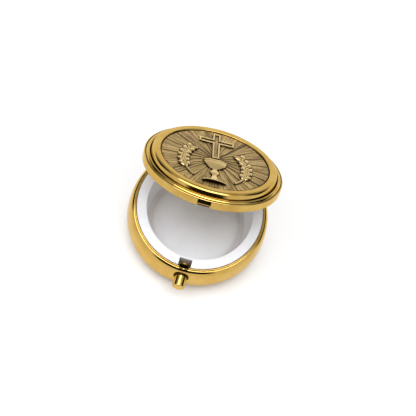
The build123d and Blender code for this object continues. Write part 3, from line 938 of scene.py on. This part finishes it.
@dataclass
class Medallion:
    """Cast disc in the lid: sunburst, outlined cross, chalice and two ears of wheat in relief."""

    hinge: LidHinge
    radius: float = 19.4
    thickness: float = 1.0
    bottom: float = 17.55
    turn: float = 5.0
    rim_round: float = 0.18
    rim_steps: int = 160
    ray_count: int = 24
    ray_rise: float = 0.14
    ray_tilt: float = 0.09
    ray_inner: float = 2.2
    ray_reach: float = 18.9
    rays_per_turned_one: int = 3
    sink: float = 0.06
    relief: float = 0.55
    edge_round: float = 0.2
    cross_width: float = 2.7
    cross_span: float = 12.6
    cross_foot: float = 0.6
    cross_top: float = 17.6
    cross_bar: float = 12.2
    cross_frame: float = 0.7
    cross_floor: float = 0.15
    chalice_outline: tuple[Point, ...] = (
        (0.0, -1.6), (4.0, -1.6), (4.3, -1.85), (4.3, -2.15), (4.0, -2.4), (3.95, -3.1),
        (3.55, -4.4), (2.8, -5.6), (1.8, -6.5), (0.9, -7.0), (0.75, -7.9), (1.2, -8.5),
        (1.6, -9.5), (1.2, -10.5), (0.75, -11.1), (0.85, -12.0), (1.2, -13.2), (2.0, -14.2),
        (3.3, -14.8), (3.4, -15.1), (4.1, -15.2), (4.2, -15.45), (4.1, -15.7), (0.0, -15.7),
    )
    chalice_swell: float = 0.2
    chalice_wall: float = 0.35
    chalice_steps: int = 20
    ear_foot: Point = (7.2, -13.6)
    ear_middle: Point = (11.2, -4.2)
    ear_tip: Point = (8.4, 5.2)
    stalk_radius: float = 0.5
    stalk_segments: int = 12
    stalk_steps: int = 24
    grain_pairs: int = 6
    grain_start: float = 0.36
    grain_length: float = 3.7
    grain_width: float = 1.9
    grain_height: float = 0.8
    grain_base: float = 0.1
    grain_spread: float = 1.2
    grain_lean: float = 27.0
    grain_segments: tuple[int, int] = (14, 8)
    sharp_angle: float = 38.0

    def place(self) -> Matrix:
        """Matrix from the medallion's field, in metres, to the part's frame at rest."""
        lift = Matrix.Translation((0.0, 0.0, (self.bottom + self.thickness) * MM))
        return self.hinge.closed_to_rest() @ lift @ Matrix.Rotation(radians(self.turn), 4, "Z")

    def add_disc(self, bm: BMesh) -> None:
        """Adds the disc with its rounded rim; its field is at height 0.

        Args:
            bm: Mesh that gets the disc.
        """
        made = bmesh.ops.create_circle(bm, cap_ends=True, radius=self.radius, segments=self.rim_steps)
        ground = made["verts"][0].link_faces[0]
        bmesh.ops.translate(bm, verts=made["verts"], vec=(0.0, 0.0, -self.thickness))
        top = drawn_out(bm, ground, (0.0, 0.0, self.thickness))
        soften(bm, [edge for edge in bm.edges if all(vert in top for vert in edge.verts)], self.rim_round)

    def add_relief(self, bm: BMesh, outline: list[Point], rise: float) -> list[BMVert]:
        """Adds a flat-topped form, sunk a little into the field, and gives the corners of its top."""
        ground = bm.faces.new([bm.verts.new((u, v, -self.sink)) for u, v in outline])
        return drawn_out(bm, ground, (0.0, 0.0, self.sink + rise))

    def add_rays(self, bm: BMesh) -> None:
        """Adds the raised rays, each tilted a little to one side so that neighbours shine differently.

        Args:
            bm: Mesh that gets the rays.
        """
        half = pi / self.ray_count / 2
        for number in range(self.ray_count):
            middle = pi / 2 + tau * number / self.ray_count
            ends = [(self.ray_reach, middle - half), (self.ray_reach, middle + half)]
            corners = [(self.ray_inner, middle), *ends]
            outline = [(reach * cos(angle), reach * sin(angle)) for reach, angle in corners]
            hand = 1 if number % self.rays_per_turned_one else -1
            for vert in self.add_relief(bm, outline, self.ray_rise):
                side = sin(atan2(vert.co.y, vert.co.x) - middle) / sin(half)
                vert.co.z -= self.ray_tilt * max(0.0, side * hand)

    def add_cross(self, bm: BMesh) -> None:
        """Adds the Latin cross: a raised frame with rounded edges round a sunken channel.

        Args:
            bm: Mesh that gets the cross.
        """
        w = self.cross_width / 2
        s = self.cross_span / 2
        low, high = self.cross_bar - w, self.cross_bar + w
        right = [(w, self.cross_foot), (w, low), (s, low), (s, high), (w, high), (w, self.cross_top)]
        outline = [(-w, self.cross_foot), *right, *[(-u, v) for u, v in right[:0:-1]]]
        top = self.add_relief(bm, outline, self.relief)
        crown = next(face for face in top[0].link_faces if all(vert in top for vert in face.verts))
        rims = list(crown.edges)
        bmesh.ops.inset_region(bm, faces=[crown], thickness=self.cross_frame, use_even_offset=True)
        rims += list(crown.edges)
        drawn_out(bm, crown, (0.0, 0.0, self.cross_floor - self.relief), keep=False)
        bmesh.ops.delete(bm, geom=[crown], context="FACES_ONLY")
        soften(bm, rims, self.edge_round)

    def add_chalice(self, bm: BMesh) -> None:
        """Adds the chalice: half a turned cup, pressed flat, on an upright edge.

        Args:
            bm: Mesh that gets the chalice.
        """
        cup = bmesh.new()
        verts = [cup.verts.new((radius, along, 0.0)) for radius, along in self.chalice_outline]
        edges = [cup.edges.new(pair) for pair in zip(verts, verts[1:])]
        half_turn = {"cent": (0, 0, 0), "axis": (0, 1, 0), "angle": -pi, "steps": self.chalice_steps}
        bmesh.ops.spin(cup, geom=verts + edges, use_merge=False, **half_turn)
        bmesh.ops.remove_doubles(cup, verts=cup.verts, dist=WELD)
        for vert in cup.verts:
            vert.co.z = self.chalice_wall + abs(vert.co.z) * self.chalice_swell
        wall = bmesh.ops.extrude_edge_only(cup, edges=[edge for edge in cup.edges if edge.is_boundary])
        for item in wall["geom"]:
            if isinstance(item, BMVert):
                item.co.z = -self.sink
        bmesh.ops.holes_fill(cup, edges=[edge for edge in cup.edges if edge.is_boundary])
        mesh = as_mesh(cup, "chalice")
        bm.from_mesh(mesh)
        bpy.data.meshes.remove(mesh)

    def ear_arc(self, side: int) -> tuple[Vector, float, float, float]:
        """Finds the circle of a stalk.

        Args:
            side: -1 for the left ear, 1 for the right one.

        Returns:
            Centre of the circle, its radius, the angle of the stalk's foot and the turn to its tip.
        """
        foot, *others = [Vector((side * u, v)) for u, v in (self.ear_foot, self.ear_middle, self.ear_tip)]
        p, q = [other - foot for other in others]
        rise = p * q.length_squared - q * p.length_squared
        start = Vector((rise.y, -rise.x)) / (2 * p.cross(q))
        return foot - start, start.length, atan2(start.y, start.x), -start.angle_signed(start + q)

    def add_ear(self, bm: BMesh, side: int) -> None:
        """Adds an ear of wheat: a round stalk and pairs of plump grains.

        Args:
            bm: Mesh that gets the ear.
            side: -1 for the left ear, 1 for the right one.
        """
        middle, reach, start, sweep = self.ear_arc(side)
        centre = Vector((middle.x, middle.y, 0.0))
        made = bmesh.ops.create_circle(
            bm, cap_ends=True, radius=self.stalk_radius, segments=self.stalk_segments
        )
        foot = Vector((cos(start), sin(start), 0.0))
        stand = Matrix((foot, (0.0, 0.0, 1.0), foot.cross(Vector((0, 0, 1))))).transposed().to_4x4()
        spot = centre + foot * reach + Vector((0.0, 0.0, self.relief - self.stalk_radius))
        bmesh.ops.transform(bm, matrix=Matrix.Translation(spot) @ stand, verts=made["verts"])
        cap = made["verts"][0].link_faces[0]
        geom = [cap, *cap.edges, *cap.verts]
        bmesh.ops.spin(bm, geom=geom, cent=centre, axis=(0, 0, 1), angle=sweep, steps=self.stalk_steps)
        size = Matrix.Diagonal((self.grain_length / 2, self.grain_width / 2, self.grain_height, 1.0))
        for number in range(self.grain_pairs):
            share = self.grain_start + (1 - self.grain_start) * number / (self.grain_pairs - 1)
            angle = start + sweep * share
            heading = angle + (pi / 2 if sweep > 0 else -pi / 2)
            spot = centre + Vector((reach * cos(angle), reach * sin(angle), self.grain_base))
            for hand in (-1, 1):
                lean = Matrix.Rotation(heading + hand * radians(self.grain_lean), 4, "Z")
                shift = Matrix.Translation((0.0, hand * self.grain_spread, 0.0))
                bmesh.ops.create_uvsphere(
                    bm,
                    u_segments=self.grain_segments[0],
                    v_segments=self.grain_segments[1],
                    radius=1.0,
                    matrix=Matrix.Translation(spot) @ lean @ shift @ size,
                )

    def build(self, finish: AntiqueBronze) -> None:
        """Builds the medallion and dresses it.

        Args:
            finish: Finish of the casting.
        """
        bm = bmesh.new()
        self.add_disc(bm)
        self.add_rays(bm)
        self.add_cross(bm)
        self.add_chalice(bm)
        for side in (-1, 1):
            self.add_ear(bm, side)
        bmesh.ops.recalc_face_normals(bm, faces=bm.faces)
        piece = finish_mesh(bm, "medallion_relief", self.place(), self.sharp_angle)
        seat(piece, finish.material(), Body.LID, "medallion")


@dataclass
class Studio:
    """Pale floor, soft lamps, surroundings and the camera of the photograph."""

    target: Place = (0.0, 0.0, 14.93)
    azimuth: float = -3.29
    elevation: float = 66.57
    roll: float = 19.25
    distance: float = 609.67
    pixels_per_mm: float = 2.84
    centre: Point = (200.16, 209.27)
    clip: Point = (0.01, 20.0)
    floor_size: float = 6000.0
    floor_colour: str = "#FDFDFD"
    floor_glow: Point = (0.1, 0.78)
    glow_reach: Point = (20.0, 33.0)
    dim_spot: Place = (0.0, -7.0, 0.0)
    tent: tuple[Point, ...] = ((-0.95, 0.5), (-0.75, 0.5), (0.1, 0.9), (0.8, 1.0))
    tent_top: tuple[Point, ...] = ((0.7, 0.0), (0.9, 1.0))
    opening: str = "#202022"
    front_opening: tuple[Point, ...] = ((0.72, 0.0), (0.86, 1.0))
    front_rise: tuple[Point, ...] = ((0.15, 0.0), (0.27, 1.0), (0.85, 1.0), (0.96, 0.0))
    side_opening: tuple[Point, ...] = ((-0.84, 0.0), (-0.7, 1.0), (-0.2, 1.0), (-0.04, 0.0))
    side_rise: tuple[Point, ...] = ((0.5, 1.0), (0.68, 0.0))
    bank_place: Place = (-50.0, -10.0, 500.0)
    bank_size: Point = (720.0, 380.0)
    bank_brightness: float = 3.15

    def add_floor(self) -> None:
        """Adds the pale floor, a glowing table that is dimmer under the object and keeps its shadow there."""
        bm = bmesh.new()
        bmesh.ops.create_grid(bm, x_segments=1, y_segments=1, size=self.floor_size / 2)
        floor = finish_mesh(bm, "studio_floor", Matrix.Identity(4))
        material = bpy.data.materials.new("pale_floor")
        nodes = Nodes.of(material)
        path = nodes.add_node("ShaderNodeLightPath").outputs
        seen = nodes.step("MAXIMUM", path["Is Camera Ray"], path["Is Glossy Ray"])
        seen = nodes.step("MAXIMUM", seen, path["Is Transmission Ray"])
        spot = LocalFrame(tuple(Vector(self.dim_spot) * MM)).coordinates(nodes)
        near, far = [reach * MM for reach in self.glow_reach]
        lit = nodes.mapped(nodes.vector_step("LENGTH", spot), (near, far), self.floor_glow)
        share = nodes.step("MULTIPLY", seen, lit)
        paint = nodes.add_node("ShaderNodeBsdfDiffuse", inputs={"Color": linear(self.floor_colour)})
        glow = nodes.add_node("ShaderNodeEmission", inputs={"Color": WHITE})
        sides = {0: share, 1: paint.outputs[0], 2: glow.outputs[0]}
        blend = nodes.add_node("ShaderNodeMixShader", inputs=sides)
        nodes.add_node("ShaderNodeOutputMaterial", inputs={"Surface": blend.outputs[0]})
        floor.data.materials.append(material)

    def add_surroundings(self) -> None:
        """Adds the surroundings: a white light tent with a dark opening in front and one at each side."""
        world = bpy.data.worlds.new("light_tent")
        nodes = Nodes.of(world)
        flat, rise = nodes.flat_and_height(nodes.coordinates("Generated"))
        ahead = nodes.vector_step("DOT_PRODUCT", nodes.vector_step("NORMALIZE", flat), (0.0, -1.0, 0.0))
        seen = nodes.step("MAXIMUM", nodes.window(ahead, self.tent), nodes.window(rise, self.tent_top))
        for width, height in ((self.front_opening, self.front_rise), (self.side_opening, self.side_rise)):
            share = nodes.step("MULTIPLY", nodes.window(ahead, width), nodes.window(rise, height))
            seen = nodes.mixed(share, seen, linear(self.opening))
        sky = nodes.add_node("ShaderNodeBackground", inputs={"Color": seen})
        nodes.add_node("ShaderNodeOutputWorld", inputs={"Surface": sky.outputs[0]})
        bpy.context.scene.world = world

    def add_lamp(self) -> None:
        """Adds the soft bank of lamps overhead, long from left to right and aimed at the object."""
        light = bpy.data.lights.new("overhead_bank", "AREA")
        light.shape = "ELLIPSE"
        light.size, light.size_y = [side * MM for side in self.bank_size]
        light.energy = self.bank_brightness * pi * pi / 4 * light.size * light.size_y
        lamp = bpy.data.objects.new("overhead_bank", light)
        back = (Vector(self.bank_place) - Vector(self.target)).normalized()
        right = Vector((0.0, 1.0, 0.0)).cross(back).normalized()
        stand = Matrix((right, back.cross(right), back)).transposed().to_4x4()
        lamp.matrix_world = Matrix.Translation(Vector(self.bank_place) * MM) @ stand
        bpy.context.scene.collection.objects.link(lamp)

    def add_camera(self) -> None:
        """Adds the camera at the photograph's angle."""
        a, e, roll = radians(self.azimuth), radians(self.elevation), radians(self.roll)
        back = Vector((sin(a) * cos(e), -cos(a) * cos(e), sin(e)))
        right = Vector((cos(a), sin(a), 0.0))
        up = back.cross(right)
        right, up = right * cos(roll) + up * sin(roll), up * cos(roll) - right * sin(roll)
        lens = bpy.data.cameras.new("photo_camera")
        lens.sensor_width = SENSOR_WIDTH
        lens.lens = self.pixels_per_mm * self.distance / IMAGE_SIZE * SENSOR_WIDTH
        lens.shift_x = (IMAGE_SIZE / 2 - self.centre[0]) / IMAGE_SIZE
        lens.shift_y = (self.centre[1] - IMAGE_SIZE / 2) / IMAGE_SIZE
        lens.clip_start, lens.clip_end = self.clip
        camera = bpy.data.objects.new("photo_camera", lens)
        stand = Matrix((right, up, back)).transposed().to_4x4()
        camera.matrix_world = Matrix.Translation((Vector(self.target) + back * self.distance) * MM) @ stand
        bpy.context.scene.collection.objects.link(camera)
        bpy.context.scene.camera = camera

    def build(self) -> None:
        """Builds the whole studio."""
        bpy.context.scene.view_settings.view_transform = "Standard"
        self.add_floor()
        self.add_surroundings()
        self.add_lamp()
        self.add_camera()


@dataclass
class SmallParts:
    """Pieces whose CAD shape is kept, with the finish that each gets."""

    slide: LocalFrame

    def dress(self) -> None:
        """Gives each kept CAD piece its finish."""
        # The bush and the shank spacer are painted near black: painted shade for the dark gap round the
        # button's root.
        dark = {"bright": "#2E2110", "deep": "#1C1408"}
        dull = {"bright": "#B08A44", "deep": "#86672F"}
        grey = {"bright": "#B9B9B6", "deep": "#8C8C8A"}
        bush = GiltBrass("bush_painted_shade", **dark, roughness=0.3, axis_frame=self.slide)
        hinge = GiltBrass("gilt_hinge", roughness=0.26, line_spacing=0.6)
        pairs = [
            (bush, ("button_bush", "shank_spacer")),
            (hinge, ("lid_hinge_strap", "base_hinge_leaf", "hinge_pin")),
            (GiltBrass("dull_catch_brass", **dull, roughness=0.3), ("catch_hook",)),
            (GiltBrass("spring_wire", **grey, roughness=0.3), ("button_spring",)),
            (MouldedPlastic("white_polypropylene"), ("tray_insert",)),
        ]
        for finish, names in pairs:
            material = finish.material()
            for name in names:
                node = frame["nodes"][name]
                node.data.materials.clear()
                node.data.materials.append(material)
                LOG.info("%s dressed with %s", name, material.name)


def main() -> None:
    """Builds the scene."""
    logging.basicConfig(level=logging.INFO)
    hinge = LidHinge.from_frame()
    lid_frame = LocalFrame.of(hinge.closed_to_rest())
    button = Button()
    slide = LocalFrame.of(button.axis())
    relief = Medallion(hinge)
    Studio().build()
    Bowl().build(GiltBrass("buffed_gilt_bowl"))
    on_lid = {"axis_frame": lid_frame}
    Lid(hinge).build(GiltBrass("buffed_gilt_lid", roughness=0.07, roughness_spread=0.02, **on_lid))
    # The tongue is painted near black as painted shade for the dark inside of the notch; only the plate's
    # lower edge is plain gilt.
    Tongue(hinge).build(
        GiltBrass("catch_brass_painted_shade", bright="#2C1F0D", deep="#1A1206", roughness=0.4, **on_lid),
        GiltBrass("catch_edge_plain_gilt", roughness=0.2, **on_lid),
    )
    button.build(GiltBrass("polished_gilt_button", roughness=0.08, roughness_spread=0.02, axis_frame=slide))
    relief.build(AntiqueBronze("patinated_cast_bronze", LocalFrame.of(relief.place())))
    SmallParts(slide).dress()


if __name__ == "__main__":
    main()
